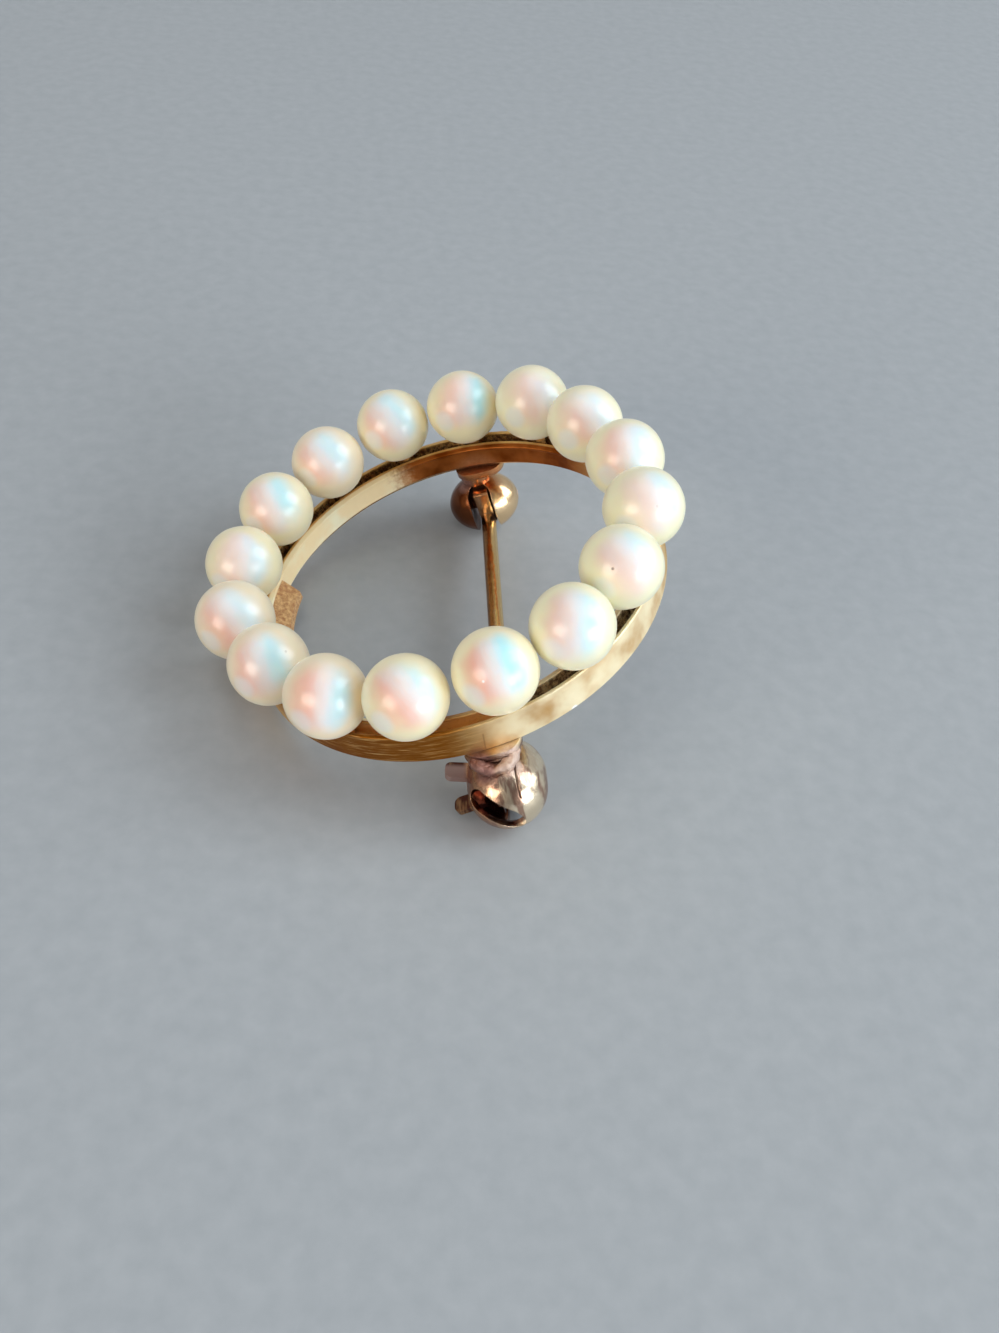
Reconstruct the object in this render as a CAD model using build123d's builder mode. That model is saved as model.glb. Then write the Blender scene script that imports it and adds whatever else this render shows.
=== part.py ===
from build123d import *
import math
import os

# All sizes are in millimetres and degrees. The brooch is built square to its ring,
# with +Z out of its front and the middle of the pearls at zero, and laid down at the end.

# Pearls
PEARL_COUNT = 16
PEARL_DIAMETER = 4.44
PEARL_CIRCLE_RADIUS = 11.7
FIRST_PEARL_ANGLE = 104.0
PEARL_CROWDING = 0.9
LOOSEST_SIDE_ANGLE = -80.0
PEARL_HOLE_RISE = 0.45

# Each pearl's own place: degrees off the even step, and how far out it sits on its peg
PEARL_SHIFTS = (
    {"turn": -0.5, "out": 0.15},
    {"turn": -0.3, "out": 0.05},
    {"turn": 0.0, "out": 0.3},
    {"turn": 0.3, "out": -0.2},
    {"turn": -0.1, "out": -0.2},
    {"turn": -0.1, "out": 0.1},
    {"turn": 0.0, "out": -0.1},
    {"turn": 0.1, "out": 0.0},
    {"turn": 0.3, "out": -0.15},
    {"turn": -0.3, "out": 0.0},
    {"turn": 0.4, "out": 0.15},
    {"turn": 0.0, "out": -0.05},
    {"turn": -0.1, "out": 0.3},
    {"turn": 0.3, "out": 0.0},
    {"turn": -0.1, "out": -0.05},
    {"turn": -0.1, "out": -0.05},
)

# Pegs that carry the pearls
PEG_DIAMETER = 0.6
PEG_RISE = 0.3
PEG_CLEARANCE = 0.05

# Band: an open channel with a bevelled inner rim
BAND_WIDTH = 1.2
BAND_HEIGHT = 1.95
PEARL_LIFT = 0.28
WALL = 0.25
CHANNEL_DEPTH = 0.9
RIM_REACH = 0.18
RIM_DROP = 0.22
RIM_EDGE = 0.13
RIM_UNDERCUT = 0.1
FOOT_CHAMFER = 0.4
BAND_EDGE_ROUND = 0.06

# Rough solder plate that slopes inward from under the rim, at the left
PLATE_REACH = 0.95
PLATE_BELOW_RIM = 0.1
PLATE_FALL = 0.85
PLATE_THICKNESS = 0.5
PLATE_START = 163.0
PLATE_END = 201.0
PLATE_SLANT = 1.0
PLATE_CUT_INSIDE = -0.3
PLATE_CUT_OUTSIDE = 4.0

# Pads and necks that join the fittings to the band
PAD_LENGTH = 3.1
PAD_WIDTH = 2.1
PAD_THICKNESS = 0.45
CATCH_NECK_DIAMETER = 2.3
HINGE_NECK_DIAMETER = 1.9
HINGE_NECK_SET_BACK = 0.2
NECK_ROOT = 0.6

# How far the cuts run past the metal
CUT_OVERRUN = 0.05

# Slotted body of the pin's joint, longest along the rivet
HINGE_LENGTH = 4.56
HINGE_DIAMETER = 3.82
HINGE_X = 1.22
HINGE_INSET = 0.06
HINGE_PAD_SHIFT = 0.5
HINGE_SLOT_WIDTH = 1.5
HINGE_SLOT_RISE = 1.8
HINGE_SLOT_BACK = 1.5
HINGE_SLOT_ROUND = 0.5

# Rivet
RIVET_DIAMETER = 0.7
RIVET_DOME = 0.1
RIVET_SEAT_CLEARANCE = 0.02
RIVET_RUNNING_CLEARANCE = 0.03

# Pin: tongue, stem and point
TONGUE_X = 1.33
TONGUE_THICKNESS = 0.92
TONGUE_ROUND_RADIUS = 1.35
TONGUE_FRONT = 1.34
TONGUE_RISE = 1.6
TONGUE_FALL = 0.92
TONGUE_CORNER = 0.18
STEM_DIAMETER = 0.94
STEM_ROOT_DROP = 0.47
STEM_ROOT_DEPTH = 0.5
THIN_DIAMETER = 0.6
TIP_DIAMETER = 0.16
TAPER_LENGTH = 2.4
POINT_LENGTH = 0.9

# Barrel of the catch: a round front, a short straight part and a back cut off flat
PIN_X = 1.55
CATCH_DROP = 7.4
CATCH_DIAMETER = 4.3
CATCH_BACK_INSET = 0.9
CATCH_BACK_DOME = 1.15
CATCH_STRAIGHT = 0.75
CATCH_BACK_WALL = 0.5
CATCH_FRONT_WALL = 0.38
SEAT_DIAMETER = 2.6
BACK_HOLE_DIAMETER = 1.04
SEAM_OFFSET = 0.9
SEAM_WIDTH = 0.1
SEAM_DEPTH = 0.1
SEAM_END = 1.65

# Mouth below the catch, where the pin swings out
MOUTH_WIDTH = 0.86
MOUTH_FRONT_GAP = 0.15

# Slot in the round front of the catch: the way it faces, its lean and its place there
SLOT_TURN = -30.0
SLOT_TILT = 40.0
SLOT_ROLL = -24.0
SLOT_LENGTH = 3.0
SLOT_WIDTH = 1.2
SLOT_SIDE = 0.23
SLOT_DROP = 0.71
SLOT_FLOOR = 0.4

# Window at the left of the catch, where the lever moves
WINDOW_BACK = 1.48
WINDOW_WIDTH = 1.1
WINDOW_RISE = 0.77
WINDOW_FALL = 0.7

# Split sleeve of the catch and both thumb tabs
SLEEVE_CLEARANCE = 0.06
SLEEVE_LENGTH = 2.04
SLEEVE_BORE = 1.5
TAB_THICKNESS = 0.34
TAB_CORNER = 0.35
FIXED_TAB_REACH = 3.29
FIXED_TAB_WIDTH = 1.05
FIXED_TAB_BACK = 0.4
FIXED_TAB_ANGLE = 158.0
LEVER_REACH = 3.05
LEVER_WIDTH = 0.96
LEVER_BACK = 1.55
LEVER_ANGLE = 190.5

# How far the point of the pin stays behind the front wall of the catch
POINT_GAP = 0.86

# Heights and radii worked out from the sizes above
pearl_radius = PEARL_DIAMETER / 2
band_top = -(pearl_radius + PEARL_LIFT)
band_bottom = band_top - BAND_HEIGHT
channel_floor = band_top - CHANNEL_DEPTH
band_outer = PEARL_CIRCLE_RADIUS + BAND_WIDTH / 2
band_inner = PEARL_CIRCLE_RADIUS - BAND_WIDTH / 2
rim_root = band_top - RIM_DROP - RIM_EDGE - RIM_UNDERCUT
plate_top = rim_root - PLATE_BELOW_RIM
plate_bottom = plate_top - PLATE_FALL - PLATE_THICKNESS
plate_edge = band_inner - PLATE_REACH
pad_bottom = band_bottom - PAD_THICKNESS
catch_radius = CATCH_DIAMETER / 2
catch_height = -CATCH_DROP
hinge_radius = HINGE_DIAMETER / 2
hinge_half = HINGE_LENGTH / 2

# Lean of the brooch as it lies, on the catch and on the band's left edge
side_run = band_outer + PIN_X
side_drop = CATCH_DROP + band_bottom
lean_turn = math.asin(catch_radius / math.hypot(side_run, side_drop)) + math.atan2(side_drop, side_run)
lean = math.degrees(lean_turn)

# Height of the pin's joint, so that its body touches the same ground
hinge_support = math.hypot(hinge_half * math.sin(lean_turn), hinge_radius * math.cos(lean_turn))
ground_drop = catch_radius - hinge_support + (HINGE_X - PIN_X) * math.sin(lean_turn)
hinge_height = catch_height - ground_drop / math.cos(lean_turn)

# Places of both fittings under the middle line of the band
hinge_pad_y = math.sqrt(PEARL_CIRCLE_RADIUS**2 - HINGE_X**2)
hinge_y = hinge_pad_y - HINGE_INSET
catch_pad_y = -math.sqrt(PEARL_CIRCLE_RADIUS**2 - PIN_X**2)
catch_back_y = catch_pad_y + CATCH_BACK_INSET
dome_back_y = catch_back_y - CATCH_BACK_DOME
dome_front_y = dome_back_y - CATCH_STRAIGHT
catch_front_y = dome_front_y - catch_radius
seat_back_y = catch_back_y - CATCH_BACK_WALL
point_y = catch_front_y + CATCH_FRONT_WALL + POINT_GAP


def pearl_angle(index):
    """Angle of one pearl: even steps, a little closer together on one side."""
    even = FIRST_PEARL_ANGLE - index * 360.0 / PEARL_COUNT
    crowding = PEARL_CROWDING * math.cos(math.radians(even - LOOSEST_SIDE_ANGLE))
    return even + crowding + PEARL_SHIFTS[index]["turn"]


def pearl_place(index, radius):
    """Place in plan at the angle of one pearl."""
    turn = math.radians(pearl_angle(index))
    return radius * math.cos(turn), radius * math.sin(turn)


def facing_front(x, y, height):
    """Plane across the pin at one place: local Y is up and the normal points to the front."""
    return Plane(origin=(x, y, height), x_dir=(1, 0, 0), z_dir=(0, -1, 0))


def tab_plane(angle, y):
    """Plane of a thumb tab: local X runs out from the pin's axis at the given angle."""
    turn = math.radians(angle)
    outward = (math.cos(turn), 0, math.sin(turn))
    across = (math.sin(turn), 0, -math.cos(turn))
    return Plane(origin=(PIN_X, y, catch_height), x_dir=outward, z_dir=across)


def slot_plane():
    """Plane of the slot in the catch's round front, its normal pointing out of the metal."""
    turn = math.radians(SLOT_TURN)
    tilt = math.radians(SLOT_TILT)
    level = (math.cos(turn), math.sin(turn), 0)
    outward = (math.sin(turn) * math.cos(tilt), -math.cos(turn) * math.cos(tilt), math.sin(tilt))
    return Plane(origin=(PIN_X, dome_front_y, catch_height), x_dir=level, z_dir=outward)


def plate_corner(angle, slant, reach):
    """Point in plan on a slanted end of the plate, at a share of its reach from its edge."""
    inner = Vector(plate_edge, 0, 0).rotate(Axis.Z, angle)
    outer = Vector(band_inner, 0, 0).rotate(Axis.Z, angle + slant)
    point = inner + (outer - inner) * reach
    return point.X, point.Y


# Plate, cut off at a slant at both ends
plate_ends = ((PLATE_START + PLATE_SLANT, -PLATE_SLANT), (PLATE_END - PLATE_SLANT, PLATE_SLANT))
with BuildPart() as plate:
    with BuildSketch(Plane.XZ):
        with BuildLine():
            Polyline(
                (plate_edge, plate_bottom),
                (band_inner + WALL / 2, plate_bottom),
                (band_inner + WALL / 2, plate_top),
                (band_inner, plate_top),
                (plate_edge, plate_top - PLATE_FALL),
                close=True,
            )
        make_face()
    revolve(axis=Axis.Z)
    with BuildSketch(Plane.XY.offset(plate_bottom)):
        Polygon(
            plate_corner(*plate_ends[0], PLATE_CUT_INSIDE),
            plate_corner(*plate_ends[0], PLATE_CUT_OUTSIDE),
            plate_corner(*plate_ends[1], PLATE_CUT_OUTSIDE),
            plate_corner(*plate_ends[1], PLATE_CUT_INSIDE),
            align=None,
        )
    extrude(amount=PLATE_FALL + PLATE_THICKNESS, mode=Mode.INTERSECT)

# Band, pegs, plate, joint and barrel, soldered into one piece
with BuildPart() as ring_frame:
    # Channel section turned round the ring
    with BuildSketch(Plane.XZ) as band_section:
        with BuildLine():
            Polyline(
                (band_outer, band_bottom),
                (band_outer, band_top),
                (band_outer - WALL, band_top),
                (band_outer - WALL, channel_floor),
                (band_inner + WALL, channel_floor),
                (band_inner + WALL, band_top),
                (band_inner - RIM_REACH, band_top - RIM_DROP),
                (band_inner - RIM_REACH, band_top - RIM_DROP - RIM_EDGE),
                (band_inner, rim_root),
                (band_inner, band_bottom + FOOT_CHAMFER),
                (band_inner + FOOT_CHAMFER, band_bottom),
                close=True,
            )
        make_face()
        rim_foot = band_top - RIM_DROP - RIM_EDGE
        fillet(band_section.vertices().filter_by_position(Axis.Y, rim_foot, band_top), radius=BAND_EDGE_ROUND)
        fillet(band_section.vertices().group_by(Axis.Y)[0].sort_by(Axis.X)[-1], radius=BAND_EDGE_ROUND)
    revolve(axis=Axis.Z)

    # One peg for each pearl, from the channel's floor
    with BuildSketch(Plane.XY.offset(channel_floor - BAND_EDGE_ROUND)):
        for index in range(PEARL_COUNT):
            with Locations(pearl_place(index, PEARL_CIRCLE_RADIUS)):
                Circle(PEG_DIAMETER / 2)
    extrude(amount=PEG_RISE - channel_floor + BAND_EDGE_ROUND)

    add(plate.part)

    # Pads and necks of both fittings
    hinge_neck_foot = hinge_height + hinge_radius - NECK_ROOT
    catch_neck_foot = catch_height + catch_radius - NECK_ROOT
    hinge_neck_y = hinge_pad_y + HINGE_NECK_SET_BACK
    hinge_pad = (HINGE_X + HINGE_PAD_SHIFT, hinge_pad_y)
    hinge_neck = (HINGE_X, hinge_neck_y, hinge_neck_foot, HINGE_NECK_DIAMETER)
    catch_pad = (PIN_X, catch_pad_y)
    catch_neck = (PIN_X, catch_pad_y, catch_neck_foot, CATCH_NECK_DIAMETER)
    for pad, neck in ((hinge_pad, hinge_neck), (catch_pad, catch_neck)):
        neck_x, neck_y, neck_foot, neck_diameter = neck
        with BuildSketch(Plane.XY.offset(pad_bottom)):
            with Locations(pad):
                SlotOverall(PAD_LENGTH, PAD_WIDTH)
        extrude(amount=PAD_THICKNESS)
        with BuildSketch(Plane.XY.offset(neck_foot)):
            with Locations((neck_x, neck_y)):
                Circle(neck_diameter / 2)
        extrude(amount=pad_bottom - neck_foot)

    # Body of the joint, an ellipse turned round the rivet's axis
    with BuildSketch(facing_front(HINGE_X, hinge_y, hinge_height)):
        Ellipse(hinge_half, hinge_radius)
        with Locations((0, hinge_radius / 2)):
            Rectangle(HINGE_LENGTH, hinge_radius, mode=Mode.INTERSECT)
    revolve(axis=Axis((HINGE_X, hinge_y, hinge_height), (1, 0, 0)))

    # Slot for the tongue, open to the front and below
    slot_fall = hinge_radius + CUT_OVERRUN
    with BuildSketch(facing_front(HINGE_X, hinge_y + HINGE_SLOT_BACK, hinge_height)) as hinge_slot:
        with Locations((0, (HINGE_SLOT_RISE - slot_fall) / 2)):
            Rectangle(HINGE_SLOT_WIDTH, HINGE_SLOT_RISE + slot_fall)
        fillet(hinge_slot.vertices().group_by(Axis.Y)[-1], radius=HINGE_SLOT_ROUND)
    extrude(amount=HINGE_SLOT_BACK + hinge_radius + CUT_OVERRUN, mode=Mode.SUBTRACT)

    # Rivet hole through both cheeks
    with BuildSketch(Plane.YZ.offset(HINGE_X - hinge_half)):
        with Locations((hinge_y, hinge_height)):
            Circle(RIVET_DIAMETER / 2 + RIVET_SEAT_CLEARANCE)
    extrude(amount=HINGE_LENGTH, mode=Mode.SUBTRACT)

    # Barrel of the catch
    catch_axis = Axis((PIN_X, 0, catch_height), (0, 1, 0))
    catch_plane = Plane(origin=(PIN_X, 0, catch_height))
    with BuildSketch(catch_plane):
        with Locations((0, (dome_back_y + dome_front_y) / 2)):
            SlotCenterToCenter(CATCH_STRAIGHT, CATCH_DIAMETER, rotation=90)
        with Locations((catch_radius / 2, (catch_back_y + catch_front_y) / 2)):
            Rectangle(catch_radius, catch_back_y - catch_front_y, mode=Mode.INTERSECT)
    revolve(axis=catch_axis)

    # Fixed thumb tab
    fixed_tab_y = catch_back_y - FIXED_TAB_BACK - FIXED_TAB_WIDTH / 2
    with BuildSketch(tab_plane(FIXED_TAB_ANGLE, fixed_tab_y)) as fixed_tab:
        with Locations(((FIXED_TAB_REACH + SEAT_DIAMETER / 2) / 2, 0)):
            Rectangle(FIXED_TAB_REACH - SEAT_DIAMETER / 2, FIXED_TAB_WIDTH)
        fillet(fixed_tab.vertices().group_by(Axis.X)[-1], radius=TAB_CORNER)
    extrude(amount=TAB_THICKNESS / 2, both=True)

    # Seat of the sleeve
    with BuildSketch(facing_front(PIN_X, seat_back_y, catch_height)):
        Circle(SEAT_DIAMETER / 2)
    extrude(amount=seat_back_y - dome_front_y + CUT_OVERRUN, mode=Mode.SUBTRACT)

    # Round hollow in front of the seat
    with BuildSketch(catch_plane):
        with Locations((0, dome_front_y)):
            Circle(catch_radius - CATCH_FRONT_WALL)
        with Locations((catch_radius / 2, dome_front_y - catch_radius / 2)):
            Rectangle(catch_radius, catch_radius, mode=Mode.INTERSECT)
    revolve(axis=catch_axis, mode=Mode.SUBTRACT)

    # Hole for the pin in the back wall
    with BuildSketch(facing_front(PIN_X, catch_back_y + CUT_OVERRUN, catch_height)):
        Circle(BACK_HOLE_DIAMETER / 2)
    extrude(amount=CATCH_BACK_WALL + 2 * CUT_OVERRUN, mode=Mode.SUBTRACT)

    # Mouth below, where the pin swings out
    with BuildSketch(facing_front(PIN_X, catch_back_y + CUT_OVERRUN, catch_height)):
        with Locations((0, -catch_radius / 2)):
            Rectangle(MOUTH_WIDTH, catch_radius + 2 * CUT_OVERRUN)
    extrude(amount=catch_back_y + CUT_OVERRUN - point_y + MOUTH_FRONT_GAP, mode=Mode.SUBTRACT)

    # Slot in the round front
    with BuildSketch(slot_plane().offset(SLOT_FLOOR)):
        with Locations((SLOT_SIDE, -SLOT_DROP)):
            SlotOverall(SLOT_LENGTH, SLOT_WIDTH, rotation=SLOT_ROLL)
    extrude(amount=catch_radius, mode=Mode.SUBTRACT)

    # Window for the lever, open to the left
    with BuildSketch(facing_front(PIN_X, catch_back_y - WINDOW_BACK, catch_height)):
        with Locations((-catch_radius / 2, (WINDOW_RISE - WINDOW_FALL) / 2)):
            Rectangle(catch_radius + CUT_OVERRUN, WINDOW_RISE + WINDOW_FALL)
    extrude(amount=WINDOW_WIDTH, mode=Mode.SUBTRACT)

    # Seam over the round front, from the neck
    seam_radius = math.sqrt(catch_radius**2 - SEAM_OFFSET**2)
    with BuildSketch(Plane.YZ.offset(PIN_X + SEAM_OFFSET)):
        with Locations((dome_front_y, catch_height)):
            Circle(seam_radius + CUT_OVERRUN)
            Circle(seam_radius - SEAM_DEPTH, mode=Mode.SUBTRACT)
        with Locations((dome_front_y - SEAM_END / 2, catch_height + catch_radius / 2)):
            Rectangle(SEAM_END, catch_radius, mode=Mode.INTERSECT)
    extrude(amount=SEAM_WIDTH / 2, both=True, mode=Mode.SUBTRACT)

# Rivet through the joint, with low domed ends
rivet_half = hinge_half * math.sqrt(1 - (RIVET_DIAMETER / HINGE_DIAMETER) ** 2)
with BuildPart() as hinge_rivet:
    with BuildSketch(Plane.YZ.offset(HINGE_X - rivet_half)):
        with Locations((hinge_y, hinge_height)):
            Circle(RIVET_DIAMETER / 2)
    extrude(amount=2 * rivet_half)
    fillet(hinge_rivet.edges().filter_by(GeomType.CIRCLE), radius=RIVET_DOME)

# Pin: a flat tongue, a round stem that slopes to the catch, and a point
tongue_plane = Plane(origin=(TONGUE_X, hinge_y, hinge_height), x_dir=(0, 1, 0), z_dir=(1, 0, 0))
stem_start = Vector(TONGUE_X, hinge_y - TONGUE_FRONT + STEM_ROOT_DEPTH, hinge_height - STEM_ROOT_DROP)
stem_end = Vector(PIN_X, point_y, catch_height)
stem_run = stem_end - stem_start
stem_plane = Plane(origin=stem_start, x_dir=(1, 0, 0), z_dir=stem_run)
thin_start = stem_run.length - (seat_back_y - point_y)
with BuildPart() as pin_stem:
    with BuildSketch(tongue_plane) as tongue:
        Circle(TONGUE_ROUND_RADIUS)
        with Locations((-TONGUE_FRONT / 2, (TONGUE_RISE - TONGUE_FALL) / 2)):
            Rectangle(TONGUE_FRONT, TONGUE_RISE + TONGUE_FALL)
        fillet(tongue.vertices().group_by(Axis.X)[0], radius=TONGUE_CORNER)
    extrude(amount=TONGUE_THICKNESS / 2, both=True)
    with BuildSketch(stem_plane):
        Circle(STEM_DIAMETER / 2)
    extrude(amount=thin_start - TAPER_LENGTH)
    with BuildSketch(stem_plane.offset(thin_start - TAPER_LENGTH)):
        Circle(STEM_DIAMETER / 2)
    with BuildSketch(stem_plane.offset(thin_start)):
        Circle(THIN_DIAMETER / 2)
    loft()
    with BuildSketch(stem_plane.offset(thin_start)):
        Circle(THIN_DIAMETER / 2)
    extrude(amount=stem_run.length - POINT_LENGTH - thin_start)
    with BuildSketch(stem_plane.offset(stem_run.length - POINT_LENGTH)):
        Circle(THIN_DIAMETER / 2)
    with BuildSketch(stem_plane.offset(stem_run.length)):
        Circle(TIP_DIAMETER / 2)
    loft()
    with BuildSketch(tongue_plane):
        Circle(RIVET_DIAMETER / 2 + RIVET_RUNNING_CLEARANCE)
    extrude(amount=TONGUE_THICKNESS, both=True, mode=Mode.SUBTRACT)

# Split sleeve with its thumb lever
sleeve_radius = SEAT_DIAMETER / 2 - SLEEVE_CLEARANCE
with BuildPart() as catch_rotor:
    with BuildSketch(facing_front(PIN_X, seat_back_y - SLEEVE_CLEARANCE, catch_height)):
        Circle(sleeve_radius)
    extrude(amount=SLEEVE_LENGTH)
    with BuildSketch(tab_plane(LEVER_ANGLE, catch_back_y - LEVER_BACK - LEVER_WIDTH / 2)) as lever:
        with Locations((LEVER_REACH / 2, 0)):
            Rectangle(LEVER_REACH, LEVER_WIDTH)
        fillet(lever.vertices().group_by(Axis.X)[-1], radius=TAB_CORNER)
    extrude(amount=TAB_THICKNESS / 2, both=True)
    with BuildSketch(facing_front(PIN_X, seat_back_y, catch_height)):
        Circle(SLEEVE_BORE / 2)
        with Locations((0, -sleeve_radius / 2)):
            Rectangle(MOUTH_WIDTH, sleeve_radius + SLEEVE_CLEARANCE)
    extrude(amount=SLEEVE_LENGTH + 2 * SLEEVE_CLEARANCE, mode=Mode.SUBTRACT)

# Pearls, each half drilled for its peg
pearls = []
for index in range(PEARL_COUNT):
    pearl_x, pearl_y = pearl_place(index, PEARL_CIRCLE_RADIUS + PEARL_SHIFTS[index]["out"])
    with BuildPart() as pearl:
        with Locations((pearl_x, pearl_y, 0)):
            Sphere(pearl_radius)
        with BuildSketch(Plane.XY.offset(PEARL_HOLE_RISE)):
            with Locations(pearl_place(index, PEARL_CIRCLE_RADIUS)):
                Circle(PEG_DIAMETER / 2 + PEG_CLEARANCE)
        extrude(amount=-(PEARL_HOLE_RISE + PEARL_DIAMETER), mode=Mode.SUBTRACT)
    pearls.append(pearl.part)

pieces = {
    "ring_frame": ring_frame.part,
    "hinge_rivet": hinge_rivet.part,
    "pin_stem": pin_stem.part,
    "catch_rotor": catch_rotor.part,
}
for index, pearl_part in enumerate(pearls):
    pieces[f"pearl_{index + 1:02d}"] = pearl_part

# The lowest point touches the ground, and the middle of the outline stands over the origin
leaning = Rotation(0, -lean, 0)
leaned = {name: leaning * piece for name, piece in pieces.items()}
outline = Compound(children=list(leaned.values())).bounding_box()
middle = outline.center()
lying = Pos(-middle.X, -middle.Y, -outline.min.Z) * leaning

os.makedirs("parts", exist_ok=True)
for name, piece in pieces.items():
    laid = lying * piece
    laid.label = name
    export_step(laid, f"parts/{name}.step")
print("lean", round(lean, 3), "shift", -middle.X, -middle.Y, -outline.min.Z)
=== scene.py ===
import math

import bmesh
import bpy
from mathutils import Matrix, Vector, noise


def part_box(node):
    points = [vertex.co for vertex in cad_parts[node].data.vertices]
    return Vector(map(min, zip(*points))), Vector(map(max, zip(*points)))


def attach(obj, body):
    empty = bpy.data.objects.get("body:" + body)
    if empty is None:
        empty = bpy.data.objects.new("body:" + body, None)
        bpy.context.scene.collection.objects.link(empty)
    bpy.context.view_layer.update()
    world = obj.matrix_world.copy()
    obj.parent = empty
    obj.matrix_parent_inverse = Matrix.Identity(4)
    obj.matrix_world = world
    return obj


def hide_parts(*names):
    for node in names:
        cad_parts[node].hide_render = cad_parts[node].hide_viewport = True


MM = 0.001
PEARL_COUNT = 16
METAL_NODES = ("ring_frame", "hinge_rivet", "pin_stem", "catch_rotor")

# How the ring lies: its lean about Y and the middle of its pearl circle
RING_LEAN = math.radians(20.757)
RING_CENTRE = Vector((-0.01428, 0.43631, 8.52035)) * MM

# Camera, from the outlines of the pearls in the photograph
EYE = Vector((-3.2323, -53.9573, 55.0426)) * MM
LOOK_AT = Vector((3.1767, -9.3622, 8.5)) * MM
CAMERA_ROLL = math.radians(7.635)
FOCAL_TO_HEIGHT = 1276.8 / 1333.0
SENSOR_HEIGHT = 24.0
CLIP_START = 0.001
CLIP_END = 10.0

# Floor, in metres
FLOOR_HALF = 6.0
FLOOR_COLOURS = ((0.33, 0.36, 0.39, 1.0), (0.42, 0.45, 0.48, 1.0))
FLOOR_NOISE = (900.0, 3.0, 0.5)
FLOOR_ROUGH = 0.75

# Soft panels: name, direction from the ring, distance, width, height, power and tint.
# A cool key from the right, a faint one overhead, and low fills from the left and the front
PANELS = (
    ("key_panel", (0.76, 0.02, 0.62), 0.72, 0.40, 0.56, 2.9, (0.88, 0.96, 1.0)),
    ("top_panel", (-0.2, 0.25, 0.95), 0.80, 0.52, 0.52, 0.5, (1.0, 0.97, 0.90)),
    ("rose_panel", (-0.70, -0.65, 0.35), 0.84, 0.48, 0.40, 3.1, (1.0, 0.90, 0.76)),
    ("front_panel", (0.72, -0.62, 0.26), 0.84, 0.52, 0.36, 4.4, (0.94, 0.97, 1.0)),
)

# Light of the room: dim towards the front, so that the metal has something to mirror
SKY_LOW = (0.40, 0.41, 0.42, 1.0)
SKY_HIGH = (0.50, 0.51, 0.53, 1.0)
SKY_FRONT = (0.10, 0.09, 0.08, 1.0)
SKY_RISE = (0.0, 0.85)
SKY_FRONT_WAY = (0.0, -0.6)
SKY_FRONT_SHARE = 0.6
SKY_STRENGTH = 0.8

# Pearl shape, in millimetres; lump and ripple are shares of the radius
PEARL_RINGS = 64
PEARL_SEGMENTS = 96
DRILL_RADIUS = 0.36
DRILL_RISE = 0.45
PEARL_CIRCLE_RADIUS = 11.7
PEARL_LUMP = 0.012
PEARL_RIPPLE = 0.0025
LUMP_SCALE = 0.9
RIPPLE_SCALE = 5.0
LUMP_SEED = (3.7, 1.9, 2.3)
SKIN_SHARE = 0.99

# Lumpy solder round the neck of the catch: its middle, radius, thickness and unevenness
SOLDER_MIDDLE = Vector((1.55, -12.0, -5.0))
SOLDER_RADIUS = 1.12
SOLDER_THICKNESS = 0.36
SOLDER_LUMP = 0.28
SOLDER_STEPS = (72, 24)
SOLDER_FRACTAL = (1.0, 2.5, 4)

# Places of the metal in the ring's frame, in millimetres, with +Z out of its front
BAND_BOTTOM = -4.45
BAND_TOP = -2.5
BAND_INNER = 11.1
BAND_OUTER = 12.3
WALL = 0.25
PLATE_TOP = -3.0
CATCH_AXIS = (1.55, -12.6, -7.4)
HINGE_MIDDLE = (1.33, 11.57, -7.48)
SLOT_X = 1.33
SLOT_HALF = 0.75
PIN_X = 1.55

# Marks on the metal: spots with a middle and a radius, a nick and a fine scratch
DARK_SOLDER_SPOTS = (((0.8, -13.0, -4.9), 1.25), ((0.3, 11.2, -5.2), 1.0))
COPPER_SPOTS = (((1.7, 10.9, -4.9), 2.0),)
PALE_SPOTS = (((2.4, -12.9, -4.9), 1.1),)
SPOT_CORE = 0.5
NICK = (6.08, -10.69, -4.45)
NICK_EDGE = (0.24, 0.144)
SCRATCH_START = (1.41, -12.22, -3.25)
SCRATCH_END = (1.25, -12.25, -4.3)
SCRATCH_WIDTH = (0.06, 0.02)
SCRATCH_FADE = 0.1
SCRATCH_SKIN = (0.3, 0.1)
SCRATCH_SHARE = 0.5

# Edges of the metal's zones: each pair is where a zone starts and where it is full
BAND_FOOT = (BAND_BOTTOM - 0.4, BAND_BOTTOM - 0.05)
PLATE_SIDE = (BAND_INNER, BAND_INNER - 0.06)
PLATE_FACE = (PLATE_TOP, PLATE_TOP - 0.05)
PLATE_FOOT = (BAND_BOTTOM - 0.02, BAND_BOTTOM + 0.04)
CHANNEL_INNER = (BAND_INNER + WALL - 0.05, BAND_INNER + WALL)
CHANNEL_OUTER = (BAND_OUTER - WALL + 0.05, BAND_OUTER - WALL)
CHANNEL_TOP = (BAND_TOP + 0.05, BAND_TOP - 0.25)
CHANNEL_FOOT = (BAND_BOTTOM, BAND_BOTTOM + 0.1)
INNER_SIDE = (BAND_INNER + 0.12, BAND_INNER + 0.02)
INNER_FOOT = (BAND_BOTTOM - 0.1, BAND_BOTTOM + 0.05)
PIN_SIDE = (0.75, 0.70)
PIN_FRONT = (-10.9, -10.8)
PIN_BACK = (9.6, 9.2)
PIN_HEIGHT = (-6.0, -6.2)
CATCH_END = (-8.0, -9.0)
TAB_SIDE = (-0.3, -0.6)
TAB_NEAR = (-11.15, -11.5)
UPPER_TAB = (CATCH_AXIS[2] + 0.3, CATCH_AXIS[2] + 0.5)
CATCH_HOLLOW = (2.02, 1.92)
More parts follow.
